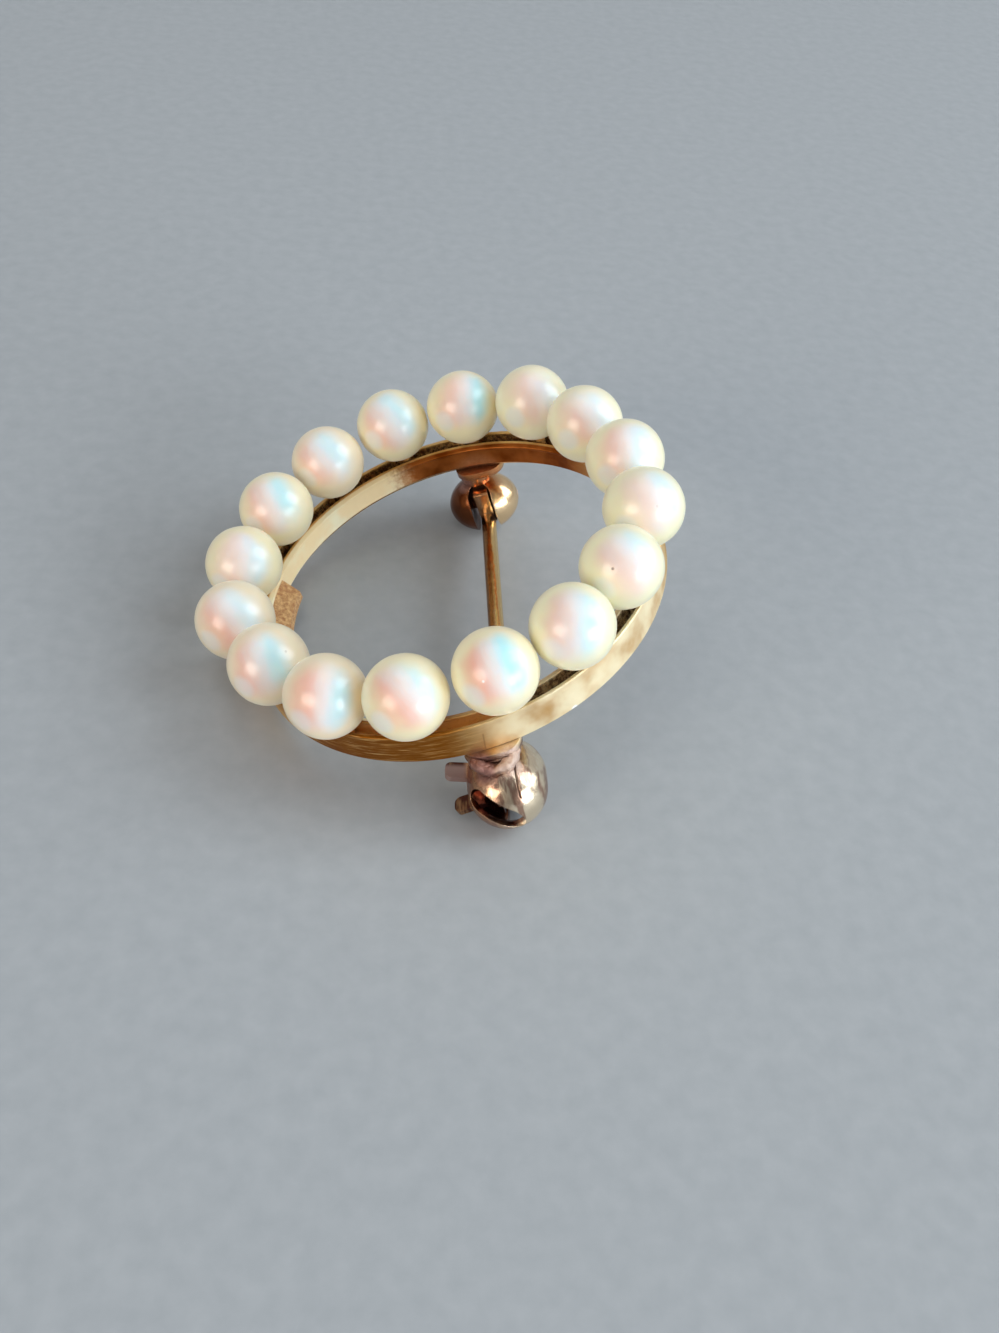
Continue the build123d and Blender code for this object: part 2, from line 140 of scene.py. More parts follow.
SLOT_EDGE = (SLOT_HALF + 0.05, SLOT_HALF + 0.02)
SLOT_INSIDE = (SLOT_HALF - 0.2, SLOT_HALF - 0.1)
HINGE_SKIN = (1.91, 1.84)

# Where the band is painted pale with light, painted brown or dark with shade, or matt; pairs of a
# place, or of a noise's value
PATCH_CLOUD = (0.38, 0.62)
BAND_LIT_NEAR = (-1.0, -5.0)
BAND_LIT_RIGHT = (0.5, 3.5)
BAND_LIT_CLOUD = (0.85, 0.35)
BAND_LIT_MATT = 0.6
BROWN_NEAR = (-7.0, -10.0)
BROWN_LEFT = (2.2, -1.0)
BROWN_STREAK = (0.22, 0.55)
RAGGED_REACH = 1.8
LIT_MATT_LEFT = (-1.8, -4.0)
FAR_SIDE = (5.0, 8.5)
FAR_RIGHT = (-4.2, -2.0)
CLEAN_NEAR = (-8.0, -10.0)
CLEAN_LEFT = (3.0, 2.0)
CLEAN_SHARE = 0.8

# How the fittings, the pin and the rough places vary, with their painted light and shade
FITTING_STRETCH = (1.8, 0.45, 0.45)
HINGE_SIDES = (0.5, 2.1)
SLOT_SHADE_SHARE = 0.9
LIT_SLOPE = 0.4
LIT_WAVER = 1.5
CATCH_LIT = (0.0, 0.9)
CATCH_STREAKS = (0.47, 0.60)
CATCH_STREAK_SHARE = 0.8
TAB_RUBS = (0.50, 0.66)
TAB_RUB_SHARE = 0.6
PIN_SHADE_SIDE = (1.75, 1.50)
PIN_SHADE_WAVER = 0.3
PLATE_SPECKLE = (0.30, 0.75)
PLATE_MATT = 0.55
CREVICE_REACH = 0.7 * MM
CREVICE_SAMPLES = 6
CREVICE_DEPTH = (0.60, 0.12)
CREVICE_GRAIN = (0.2, 0.5)
DARK_CHANNEL_SOLDER = (0.62, 0.42)
DIRT_AND_SHADE_SHARE = 0.85
HOLLOW_SHADE_SHARE = 0.8

# Noises: scale, detail and roughness. The drawn one is stretched along the ring or on the fittings
NOISE_MIDDLE = 0.5
STREAK_ALONG = 0.7
STREAK_ACROSS = 9.0
DRAWN_NOISE = (1.0, 3.0, 0.6)
CLOUD_NOISE = (0.45, 3.0, 0.5)
GRAIN_NOISE = (9.0, 4.0, 0.65)
SOLDER_NOISE = (3.4, 5.0, 0.7)
WOBBLE_NOISE = (0.8, 2.0, 0.5)

# Roughness of the metal at the low and high of its noise, and its bumps' strengths and heights
FITTING_ROUGH = (0.14, 0.32)
BAND_ROUGH = (0.34, 0.62)
LUMPY_ROUGH = (0.25, 0.6)
DIRT_AND_SHADE_ROUGH = 0.7
TAB_ROUGH = 0.55
SOLDERED_LUMPS = 0.8
CHANNEL_LUMPS = 0.6
METAL_OR_MATT = (1.0, 0.05)
EDGE_ROUND = 0.06 * MM
EDGE_SAMPLES = 4
WOBBLE_BUMP = (0.6, 0.14 * MM)
BRUSH_STRENGTHS = (0.04, 0.5)
BRUSH_HEIGHT = 0.010 * MM
LUMP_HEIGHT = 0.22 * MM
GRAIN_BUMP = (0.25, 0.006 * MM)

# Colours of the band
YELLOW_GOLD = (0.90, 0.60, 0.25, 1.0)
ROSE_GOLD = (0.74, 0.41, 0.13, 1.0)
# Painted light on the band's near right
BAND_LIT_GOLD = (1.0, 0.88, 0.60, 1.0)
# Painted shade on the band's near left
SHADED_BROWN = (0.33, 0.11, 0.008, 1.0)
# Painted light on the inner wall's left, which is also matt
LIT_MATT_PALE = (1.0, 0.95, 0.68, 1.0)
LIT_MATT_WARM = (1.0, 0.82, 0.50, 1.0)
# Painted shade on the far inner wall
FAR_SHADE_BROWN = (0.46, 0.14, 0.03, 1.0)
FAR_SHADE_DARK = (0.22, 0.05, 0.005, 1.0)
CLEAN_GOLD = (1.0, 0.68, 0.34, 1.0)
# Dirt and painted shade in corners and in the channel
DIRT_AND_SHADE = (0.10, 0.035, 0.02, 1.0)
NICK_WHITE = (1.0, 0.98, 0.92, 1.0)
SCRATCH_BROWN = (0.40, 0.20, 0.08, 1.0)

# Colours of the pin, the hinge and the catch
PIN_GOLD = (0.88, 0.62, 0.28, 1.0)
# Painted shade on the pin's left side
PIN_SHADE = (0.36, 0.16, 0.05, 1.0)
# Painted shade and light on the hinge's two sides
HINGE_SHADED = (0.18, 0.06, 0.025, 1.0)
HINGE_LIT = (1.0, 0.72, 0.42, 1.0)
# Painted shade in the hinge's slot
SLOT_SHADE = (0.09, 0.03, 0.02, 1.0)
# Painted shade and light on the catch's two sides
CATCH_SHADE = (0.58, 0.31, 0.17, 1.0)
CATCH_LIT_PALE = (1.0, 0.84, 0.62, 1.0)
CATCH_STREAK = (0.36, 0.17, 0.12, 1.0)
# Painted shade on the tabs
TAB_SHADED = (0.11, 0.04, 0.03, 1.0)
TAB_RUBBED = (0.62, 0.38, 0.20, 1.0)
TAB_PALE = (0.46, 0.32, 0.29, 1.0)
# Painted shade inside the catch's hollow
HOLLOW_SHADE = (0.14, 0.04, 0.03, 1.0)

# Rough metal: its colour at the low and at the high of the solder noise
PLATE_METAL = ((0.54, 0.22, 0.08, 1.0), (1.0, 0.70, 0.34, 1.0))
COPPER_METAL = ((0.38, 0.12, 0.04, 1.0), (0.75, 0.36, 0.16, 1.0))
PALE_METAL = ((0.60, 0.36, 0.28, 1.0), (1.0, 0.88, 0.78, 1.0))
DARK_SOLDER_METAL = ((0.13, 0.035, 0.03, 1.0), (0.55, 0.33, 0.28, 1.0))

# Directions on a pearl in the ring's frame: across it, up it and out of its front, which place its
# painted highlight and reflections
ACROSS = Vector((0.963, -0.047, -0.266))
UPWARD = Vector((0.216, 0.724, 0.655))
FRONT = Vector((0.162, -0.688, 0.707))
# Way to the painted reflection low at the left of each pearl
LOW_REFLECTION = Vector((-0.49, -0.84, 0.24)).normalized()

# Painted highlight and reflections on the nacre: how their zones turn and shift from pearl to
# pearl, how they waver and where they end
ZONE_SLANT = 0.35
ZONE_SWING = 0.40
SWING_STEP = 2.1
ZONE_SHIFT = 0.12
SHIFT_STEP = 1.7
NACRE_SEED = (7.3, 3.1, 5.7)
WIDE_NOISE = (0.5, 2.0, 0.5)
WIDE_SHARE = 0.35
WIDE_REACH = 0.5
FINE_NOISE = (1.0, 4.0, 0.6)
FINE_ACROSS = 5.0
FINE_UPWARD = 1.5
FINE_SEED = 4.1
FINE_SHARE = 0.24
ZONES_FRONT = (0.45, 0.92)
LOW_REFLECTION_EDGE = (0.93, 0.99)
LOW_REFLECTION_SHARE = 0.5
SKIN_NOISE = (5.0, 3.0, 0.5)
SKIN_BUMP = (0.15, 0.01 * MM)

# Strengths of the rose, partly overtone and partly painted reflection, and of the painted blue
# reflection, with the body colours of the pearls, from the first at the back round to the right
PEARL_LOOKS = (
    {"rose": 0.55, "blue": 0.45, "body": "cream"},
    {"rose": 0.50, "blue": 0.90, "body": "cream"},
    {"rose": 0.30, "blue": 0.15, "body": "pale"},
    {"rose": 0.45, "blue": 0.10, "body": "pale"},
    {"rose": 0.55, "blue": 0.25, "body": "pale"},
    {"rose": 0.15, "blue": 0.35, "body": "green"},
    {"rose": 0.25, "blue": 0.40, "body": "green"},
    {"rose": 0.40, "blue": 0.60, "body": "green"},
    {"rose": 1.00, "blue": 1.00, "body": "cream"},
    {"rose": 0.80, "blue": 0.75, "body": "cream"},
    {"rose": 0.85, "blue": 0.55, "body": "pink"},
    {"rose": 0.70, "blue": 0.60, "body": "pink"},
    {"rose": 0.75, "blue": 0.20, "body": "pink"},
    {"rose": 0.15, "blue": 0.25, "body": "cream"},
    {"rose": 0.55, "blue": 0.70, "body": "cream"},
    {"rose": 0.65, "blue": 0.35, "body": "pink"},
)
BODY_COLOURS = {
    "cream": (1.0, 0.88, 0.60, 1.0),
    "pale": (1.0, 0.91, 0.65, 1.0),
    "green": (0.98, 0.93, 0.65, 1.0),
    "pink": (1.0, 0.83, 0.61, 1.0),
}
# Painted on the nacre: rose, partly its overtone and partly a painted reflection; a painted white
# highlight; painted blue reflections
ROSE_OVERTONE_AND_REFLECTION = (0.93, 0.40, 0.30, 1.0)
ROSY_WHITE_HIGHLIGHT = (0.88, 0.76, 0.72, 1.0)
WHITE_HIGHLIGHT = (0.85, 0.84, 0.87, 1.0)
BLUE_REFLECTION = (0.36, 0.86, 0.97, 1.0)
BLUE_WHITE_REFLECTION = (0.76, 0.87, 0.94, 1.0)
BLUE_FULL = 0.8
BLUE_FADING = 0.6
SHEEN_TINT = (1.0, 0.93, 0.78, 1.0)

# Specks in the nacre: the pearl, the way each one faces, its colour, that colour's share and depth
DARK_SPECK = (0.20, 0.15, 0.12, 1.0)
PALE_SPECK = (1.0, 1.0, 1.0, 1.0)
SPECKS = (
    (7, (-0.384, -0.723, 0.574), DARK_SPECK, 0.85, 0.9),
    (9, (-0.346, -0.798, 0.494), PALE_SPECK, 0.9, 0.0),
    (12, (0.451, -0.354, 0.819), DARK_SPECK, 0.25, 0.3),
    (6, (0.10, -0.75, 0.65), DARK_SPECK, 0.15, 0.2),
)
SPECK_EDGE = (0.10, 0.03)
SPECK_HEIGHT = 0.05 * MM


# Node helpers


def new_material(name):
    """A node material; returns it and its Principled shader."""
    material = bpy.data.materials.new(name)
    material.use_nodes = True
    shader = material.node_tree.nodes["Principled BSDF"]
    return material, shader


def add(tree, kind, settings=None, **inputs):
    """Adds a node; settings are its properties, inputs its sockets by name or by i and a number."""
    node = tree.nodes.new(kind)
    for key, value in (settings or {}).items():
        setattr(node, key, value)
    for key, value in inputs.items():
        numbered = key[0] == "i" and key[1:].isdigit()
        socket = node.inputs[int(key[1:]) if numbered else key.replace("_", " ")]
        if isinstance(value, bpy.types.NodeSocket):
            tree.links.new(value, socket)
        else:
            socket.default_value = value
    return node


def maths(tree, operation, first, second=0.0, clamp=False):
    """One math node's result."""
    settings = {"operation": operation, "use_clamp": clamp}
    return add(tree, "ShaderNodeMath", settings, i0=first, i1=second).outputs[0]


def plus(tree, first, second):
    """Sum of two values."""
    return maths(tree, "ADD", first, second)


def minus(tree, first, second):
    """First value less the second."""
    return maths(tree, "SUBTRACT", first, second)


def larger(tree, first, second):
    """The larger of two values."""
    return maths(tree, "MAXIMUM", first, second)


def times(tree, *factors):
    """Product of several values."""
    result = factors[0]
    for factor in factors[1:]:
        result = maths(tree, "MULTIPLY", result, factor)
    return result


def ramp(tree, value, start, full):
    """0 at the start and 1 where full, smooth between."""
    settings = {"interpolation_type": "SMOOTHSTEP"}
    node = add(tree, "ShaderNodeMapRange", settings, Value=value, From_Min=start, From_Max=full)
    return node.outputs[0]


def mix_colour(tree, factor, first, second):
    """Mix of two colours."""
    settings = {"data_type": "RGBA"}
    return add(tree, "ShaderNodeMix", settings, i0=factor, i6=first, i7=second).outputs[2]


def mix_value(tree, factor, first, second):
    """Mix of two numbers."""
    settings = {"data_type": "FLOAT"}
    return add(tree, "ShaderNodeMix", settings, i0=factor, i2=first, i3=second).outputs[0]


def noise_value(tree, vector, scale, detail, roughness):
    """Plain noise at a point."""
    node = add(
        tree, "ShaderNodeTexNoise", None,
        Vector=vector, Scale=scale, Detail=detail, Roughness=roughness,
    )
    return node.outputs[0]


def bump(tree, height, strength, distance, normal=None):
    """Bump over an earlier normal."""
    node = add(
        tree, "ShaderNodeBump", None, Strength=strength, Distance=distance, Height=height,
    )
    if normal is not None:
        tree.links.new(normal, node.inputs["Normal"])
    return node.outputs[0]


def blend(first, second, share):
    """Fixed mix of two colours."""
    return tuple(a + (b - a) * share for a, b in zip(first, second))


def colour_steps(tree, value, steps):
    """Colour that runs smoothly through steps of a place and a colour."""
    node = add(tree, "ShaderNodeValToRGB", None, Fac=value)
    elements = node.color_ramp.elements
    elements[0].position, elements[0].color = steps[0]
    elements[1].position, elements[1].color = steps[-1]
    for place, shade in steps[1:-1]:
        elements.new(place).color = shade
    node.color_ramp.interpolation = "B_SPLINE"
    return node.outputs[0]


def split(tree, point):
    """The three coordinates of a point."""
    parts = add(tree, "ShaderNodeSeparateXYZ", None, Vector=point)
    return parts.outputs[0], parts.outputs[1], parts.outputs[2]


def distance_to(tree, point, centre):
    """Distance of a point from a fixed place."""
    settings = {"operation": "DISTANCE"}
    return add(tree, "ShaderNodeVectorMath", settings, i0=point, i1=centre).outputs["Value"]


def radius_and_height(tree, point):
    """Distance of a point from the ring's axis, and its height along it."""
    x, y, z = split(tree, point)
    level = add(tree, "ShaderNodeCombineXYZ", None, X=x, Y=y).outputs[0]
    length = add(tree, "ShaderNodeVectorMath", {"operation": "LENGTH"}, i0=level)
    return length.outputs["Value"], z


# Places and noises on the metal


def ring_space(tree):
    """Position in the ring's own frame, in millimetres, with +Z out of its front."""
    place = add(tree, "ShaderNodeTexCoord").outputs["Object"]
    mapping = add(tree, "ShaderNodeMapping", {"vector_type": "TEXTURE"}, Vector=place)
    mapping.inputs["Location"].default_value = RING_CENTRE
    mapping.inputs["Rotation"].default_value = (0.0, -RING_LEAN, 0.0)
    mapping.inputs["Scale"].default_value = (MM, MM, MM)
    return mapping.outputs[0]


def round_streaks(tree, point):
    """Noise drawn out along the ring: it changes slowly round it and fast across it."""
    x, y, z = split(tree, point)
    radius, _ = radius_and_height(tree, point)
    stretched = add(
        tree, "ShaderNodeCombineXYZ", None, X=times(tree, x, STREAK_ALONG),
        Y=times(tree, y, STREAK_ALONG), Z=times(tree, z, STREAK_ACROSS),
    ).outputs[0]
    scale, detail, roughness = DRAWN_NOISE
    node = add(
        tree, "ShaderNodeTexNoise", {"noise_dimensions": "4D"}, Vector=stretched,
        W=times(tree, radius, STREAK_ACROSS), Scale=scale, Detail=detail, Roughness=roughness,
    )
    return node.outputs[0]


def fitting_run(tree, point):
    """Noise on the fittings, with its own scale along each axis of the ring's frame."""
    settings = {"operation": "MULTIPLY"}
    scaled = add(tree, "ShaderNodeVectorMath", settings, i0=point, i1=FITTING_STRETCH).outputs[0]
    return noise_value(tree, scaled, *DRAWN_NOISE)


def inside_plate(tree, point):
    """1 on the rough plate inside the band, 0 elsewhere."""
    radius, height = radius_and_height(tree, point)
    inward = ramp(tree, radius, *PLATE_SIDE)
    return times(tree, inward, ramp(tree, height, *PLATE_FACE), ramp(tree, height, *PLATE_FOOT))


def inside_channel(tree, point):
    """1 in the open channel that holds the pegs, 0 elsewhere."""
    radius, height = radius_and_height(tree, point)
    walls = times(tree, ramp(tree, radius, *CHANNEL_INNER), ramp(tree, radius, *CHANNEL_OUTER))
    return times(tree, walls, ramp(tree, height, *CHANNEL_TOP), ramp(tree, height, *CHANNEL_FOOT))


def inner_wall(tree, point):
    """1 on the band's inner wall and rim, 0 outside it."""
    radius, height = radius_and_height(tree, point)
    return times(tree, ramp(tree, radius, *INNER_SIDE), ramp(tree, height, *INNER_FOOT))


def pin_mask(tree, point):
    """1 on the pin's wire, 0 elsewhere."""
    x, y, z = split(tree, point)
    beside = ramp(tree, maths(tree, "ABSOLUTE", minus(tree, x, PIN_X)), *PIN_SIDE)
    between = times(tree, ramp(tree, y, *PIN_FRONT), ramp(tree, y, *PIN_BACK))
    return times(tree, beside, between, ramp(tree, z, *PIN_HEIGHT))


def tab_mask(tree, point):
    """1 on the two small tabs at the left of the catch."""
    x, y, _ = split(tree, point)
    return times(tree, ramp(tree, y, *CATCH_END), ramp(tree, x, *TAB_SIDE))


def slot_mask(tree, point):
    """1 on the walls of the hinge's slot, inside its body."""
    x, _, _ = split(tree, point)
    beside = maths(tree, "ABSOLUTE", minus(tree, x, SLOT_X))
    walls = times(tree, ramp(tree, beside, *SLOT_EDGE), ramp(tree, beside, *SLOT_INSIDE))
    return times(tree, walls, ramp(tree, distance_to(tree, point, HINGE_MIDDLE), *HINGE_SKIN))


def scratch_mask(tree, point):
    """1 along the fine scratch on the outside of the band."""
    x, y, z = split(tree, point)
    start, end = SCRATCH_START, SCRATCH_END
    slope = (end[0] - start[0]) / (end[2] - start[2])
    line_x = plus(tree, times(tree, minus(tree, z, start[2]), slope), start[0])
    beside = ramp(tree, maths(tree, "ABSOLUTE", minus(tree, x, line_x)), *SCRATCH_WIDTH)
    outside = ramp(tree, y, start[1] + SCRATCH_SKIN[0], start[1] + SCRATCH_SKIN[1])
    above = ramp(tree, z, end[2] - SCRATCH_FADE, end[2])
    return times(tree, beside, outside, above, ramp(tree, z, start[2] + SCRATCH_FADE, start[2]))


def spots_mask(tree, point, spots):
    """1 in the middle of each spot, 0 beyond its radius."""
    total = 0.0
    for centre, radius in spots:
        spot = ramp(tree, distance_to(tree, point, centre), radius, radius * SPOT_CORE)
        total = maths(tree, "ADD", total, spot, clamp=True)
    return total


def metal_fields(tree):
    """The places, noises and masks that the gold's colour and roughness depend on."""
    point = ring_space(tree)
    x, y, z = split(tree, point)
    return {
        "point": point, "x": x, "y": y, "z": z,
        "streak": round_streaks(tree, point),
        "cloud": noise_value(tree, point, *CLOUD_NOISE),
        "grain": noise_value(tree, point, *GRAIN_NOISE),
        "solder": noise_value(tree, point, *SOLDER_NOISE),
        "band": ramp(tree, z, *BAND_FOOT),
        "plate": inside_plate(tree, point),
        "channel": inside_channel(tree, point),
        "inner": inner_wall(tree, point),
        "dark_solder": spots_mask(tree, point, DARK_SOLDER_SPOTS),
        "copper": spots_mask(tree, point, COPPER_SPOTS),
        "pale": spots_mask(tree, point, PALE_SPOTS),
        "pin": pin_mask(tree, point),
        "nick": ramp(tree, distance_to(tree, point, NICK), *NICK_EDGE),
    }


# Colours of the metal


def band_colour(tree, f):
    """Brushed gold, painted pale with light and matt at the near right and on the inner wall's
    left, painted brown with shade at the near left and far inside.
    """
    patch = ramp(tree, f["cloud"], *PATCH_CLOUD)
    base = mix_colour(tree, patch, YELLOW_GOLD, ROSE_GOLD)
    # Painted light: pale gold, also made matt, on the near right of the band
    lit_right = times(
        tree, ramp(tree, f["y"], *BAND_LIT_NEAR), ramp(tree, f["x"], *BAND_LIT_RIGHT),
        ramp(tree, f["cloud"], *BAND_LIT_CLOUD),
    )
    base = mix_colour(tree, lit_right, base, BAND_LIT_GOLD)
    # Painted shade: streaky brown on the near left of the band
    brown = times(
        tree, ramp(tree, f["y"], *BROWN_NEAR), ramp(tree, f["x"], *BROWN_LEFT),
        ramp(tree, f["streak"], *BROWN_STREAK),
    )
    base = mix_colour(tree, brown, base, SHADED_BROWN)
    waver = minus(tree, f["solder"], NOISE_MIDDLE)
    ragged = plus(tree, f["x"], times(tree, waver, RAGGED_REACH))
    # Painted light: pale, matt gold on the inner wall at the left, with a ragged edge
    left = times(tree, f["inner"], ramp(tree, ragged, *LIT_MATT_LEFT))
    base = mix_colour(tree, left, base, mix_colour(tree, patch, LIT_MATT_PALE, LIT_MATT_WARM))
    # Painted shade: brown to dark on the far inner wall
    far = times(tree, f["inner"], ramp(tree, f["y"], *FAR_SIDE), ramp(tree, ragged, *FAR_RIGHT))
    base = mix_colour(tree, far, base, mix_colour(tree, patch, FAR_SHADE_BROWN, FAR_SHADE_DARK))
    return base, larger(tree, times(tree, lit_right, BAND_LIT_MATT), left)


def tab_colour(tree, f, run):
    """Tabs painted dark brown with shade, with rubbed gold, the upper one paler along its near
    part.
    """
    near = times(tree, ramp(tree, f["y"], *TAB_NEAR), ramp(tree, f["z"], *UPPER_TAB))
    rubbed = times(tree, ramp(tree, run, *TAB_RUBS), TAB_RUB_SHARE)
    # Painted shade: the tabs are dark brown
    return mix_colour(tree, near, mix_colour(tree, rubbed, TAB_SHADED, TAB_RUBBED), TAB_PALE)


def hinge_colour(tree, f, waver):
    """Polished gold, painted dark with shade at its left and pale with light at its right, with its
    slot painted dark with shade.
    """
    # Painted shade and light: dark at the hinge's left, pale at its right
    sides = ramp(tree, plus(tree, f["x"], waver), *HINGE_SIDES)
    base = mix_colour(tree, sides, HINGE_SHADED, HINGE_LIT)
    # Painted shade: dark on the walls of the hinge's slot
    slot = times(tree, slot_mask(tree, f["point"]), SLOT_SHADE_SHARE)
    return mix_colour(tree, slot, base, SLOT_SHADE)


def catch_colour(tree, f, run, waver):
    """Polished gold, painted pale with light to its right and dark with shade to its left, with
    lighter and darker streaks, and its tabs.
    """
    # Painted light and shade: the catch is paler to its right, darker to its left
    lit = plus(tree, times(tree, f["x"], LIT_SLOPE), times(tree, waver, LIT_WAVER))
    base = mix_colour(tree, ramp(tree, lit, *CATCH_LIT), CATCH_SHADE, CATCH_LIT_PALE)
    streaks = times(tree, ramp(tree, run, *CATCH_STREAKS), CATCH_STREAK_SHARE)
    base = mix_colour(tree, streaks, base, CATCH_STREAK)
    return mix_colour(tree, ramp(tree, f["x"], *TAB_SIDE), base, tab_colour(tree, f, run))


def fitting_colour(tree, f):
    """The hinge at the far end and the catch at the near end."""
    run = fitting_run(tree, f["point"])
    waver = minus(tree, run, NOISE_MIDDLE)
    hinge = hinge_colour(tree, f, waver)
    catch = catch_colour(tree, f, run, waver)
    return mix_colour(tree, ramp(tree, f["y"], *CATCH_END), hinge, catch)


def with_pin(tree, f, base):
    """The pin's own gold, with painted shade along its left side."""
    base = mix_colour(tree, f["pin"], base, PIN_GOLD)
    # Painted shade: dark brown along the pin's left side
    side = plus(tree, f["x"], times(tree, f["cloud"], PIN_SHADE_WAVER))
    pin_shade = times(tree, f["pin"], ramp(tree, side, *PIN_SHADE_SIDE))
    return mix_colour(tree, pin_shade, base, PIN_SHADE)


def with_solder(tree, f, base):
    """The rough plate and the copper, pale and dark places of the solder."""
    speckle = ramp(tree, f["solder"], *PLATE_SPECKLE)
    base = mix_colour(tree, f["plate"], base, mix_colour(tree, speckle, *PLATE_METAL))
    for place, metal in (("copper", COPPER_METAL), ("pale", PALE_METAL), ("dark_solder", DARK_SOLDER_METAL)):
        base = mix_colour(tree, f[place], base, mix_colour(tree, f["solder"], *metal))
    return base


def with_marks(tree, f, base):
    """The scratch and the nick on the outside of the band."""
    scratch = times(tree, scratch_mask(tree, f["point"]), SCRATCH_SHARE)
    base = mix_colour(tree, scratch, base, SCRATCH_BROWN)
    return mix_colour(tree, f["nick"], base, NICK_WHITE)


def with_dirt_and_shade(tree, f, base):
    """Dirt and painted shade in the corners and the channel, which is clean at the near left; also
    how much.
    """
    clean = times(tree, ramp(tree, f["y"], *CLEAN_NEAR), ramp(tree, f["x"], *CLEAN_LEFT))
    base = mix_colour(tree, times(tree, f["channel"], clean), base, CLEAN_GOLD)
    # Dirt and painted shade: darker where the occlusion finds corners, and in the speckled channel
    settings = {"samples": CREVICE_SAMPLES}
    near = add(tree, "ShaderNodeAmbientOcclusion", settings, Distance=CREVICE_REACH)
    crevice = ramp(tree, near.outputs["AO"], *CREVICE_DEPTH)
    dirt_and_shade = times(tree, crevice, ramp(tree, f["grain"], *CREVICE_GRAIN))
    channel_speckle = ramp(tree, f["solder"], *DARK_CHANNEL_SOLDER)
    dark_channel = times(tree, f["channel"], channel_speckle, minus(tree, 1.0, clean))
    kept_clean = minus(tree, 1.0, times(tree, clean, f["channel"], CLEAN_SHARE))
    dirt_and_shade = times(tree, larger(tree, dirt_and_shade, dark_channel), kept_clean)
    return mix_colour(tree, times(tree, dirt_and_shade, DIRT_AND_SHADE_SHARE), base, DIRT_AND_SHADE), dirt_and_shade


def gold_colour(tree, f):
    """Yellow-rose gold with its wear and its painted light and shade; returns its colour, its mask
    of grime and painted shade, and how matt it is.
    """
    on_ring, matt = band_colour(tree, f)
    base = mix_colour(tree, f["band"], fitting_colour(tree, f), on_ring)
    matt = larger(tree, times(tree, matt, f["band"]), times(tree, f["plate"], PLATE_MATT))
    matt = larger(tree, matt, f["nick"])
    base = with_solder(tree, f, with_pin(tree, f, base))
    base, dirt_and_shade = with_dirt_and_shade(tree, f, with_marks(tree, f, base))
    # Painted shade: dark inside the catch's hollow
    hollow = ramp(tree, distance_to(tree, f["point"], CATCH_AXIS), *CATCH_HOLLOW)
    base = mix_colour(tree, times(tree, hollow, HOLLOW_SHADE_SHARE), base, HOLLOW_SHADE)
    return base, dirt_and_shade, matt


# Materials


def gold_roughness(tree, f, lumpy, dirt_and_shade):
    """Polished on the fittings, brushed on the band, duller where lumpy and under the grime and
    painted shade.
    """
    fittings = mix_value(tree, f["grain"], *FITTING_ROUGH)
    band = mix_value(tree, f["streak"], *BAND_ROUGH)
    rough = mix_value(tree, f["band"], fittings, band)
    rough = mix_value(tree, lumpy, rough, mix_value(tree, f["solder"], *LUMPY_ROUGH))
    rough = mix_value(tree, dirt_and_shade, rough, DIRT_AND_SHADE_ROUGH)
    return mix_value(tree, tab_mask(tree, f["point"]), rough, TAB_ROUGH)


def gold_normal(tree, f, lumpy):
    """Softened edges, a slight waviness, brushing, lumps and grain."""
    settings = {"samples": EDGE_SAMPLES}
    edge = add(tree, "ShaderNodeBevel", settings, Radius=EDGE_ROUND).outputs[0]
    wobble = noise_value(tree, f["point"], *WOBBLE_NOISE)
    normal = bump(tree, wobble, *WOBBLE_BUMP, edge)
    brushed = mix_value(tree, f["band"], *BRUSH_STRENGTHS)
    normal = bump(tree, f["streak"], brushed, BRUSH_HEIGHT, normal)
    normal = bump(tree, f["solder"], lumpy, LUMP_HEIGHT, normal)
    return bump(tree, f["grain"], *GRAIN_BUMP, normal)


def gold_material(name):
    """Gold: brushed on the band, polished on the fittings under it, rough on plate and solder, with
    painted light and shade in its colour.
    """
    material, shader = new_material(name)
    tree = material.node_tree
    f = metal_fields(tree)
    base, dirt_and_shade, matt = gold_colour(tree, f)
    soldered = times(tree, larger(tree, f["dark_solder"], f["pale"]), SOLDERED_LUMPS)
    lumpy = larger(tree, f["plate"], soldered)
    lumpy = larger(tree, lumpy, times(tree, f["channel"], CHANNEL_LUMPS))
    tree.links.new(base, shader.inputs["Base Color"])
    tree.links.new(mix_value(tree, matt, *METAL_OR_MATT), shader.inputs["Metallic"])
    tree.links.new(gold_roughness(tree, f, lumpy, dirt_and_shade), shader.inputs["Roughness"])
    tree.links.new(gold_normal(tree, f, lumpy), shader.inputs["Normal"])
    return material


def along(tree, facing, axis):
    """How far a place on a pearl lies along one direction of the ring's frame."""
    turned = Matrix.Rotation(-RING_LEAN, 3, "Y") @ axis
    settings = {"operation": "DOT_PRODUCT"}
    return add(tree, "ShaderNodeVectorMath", settings, i0=facing, i1=turned).outputs["Value"]


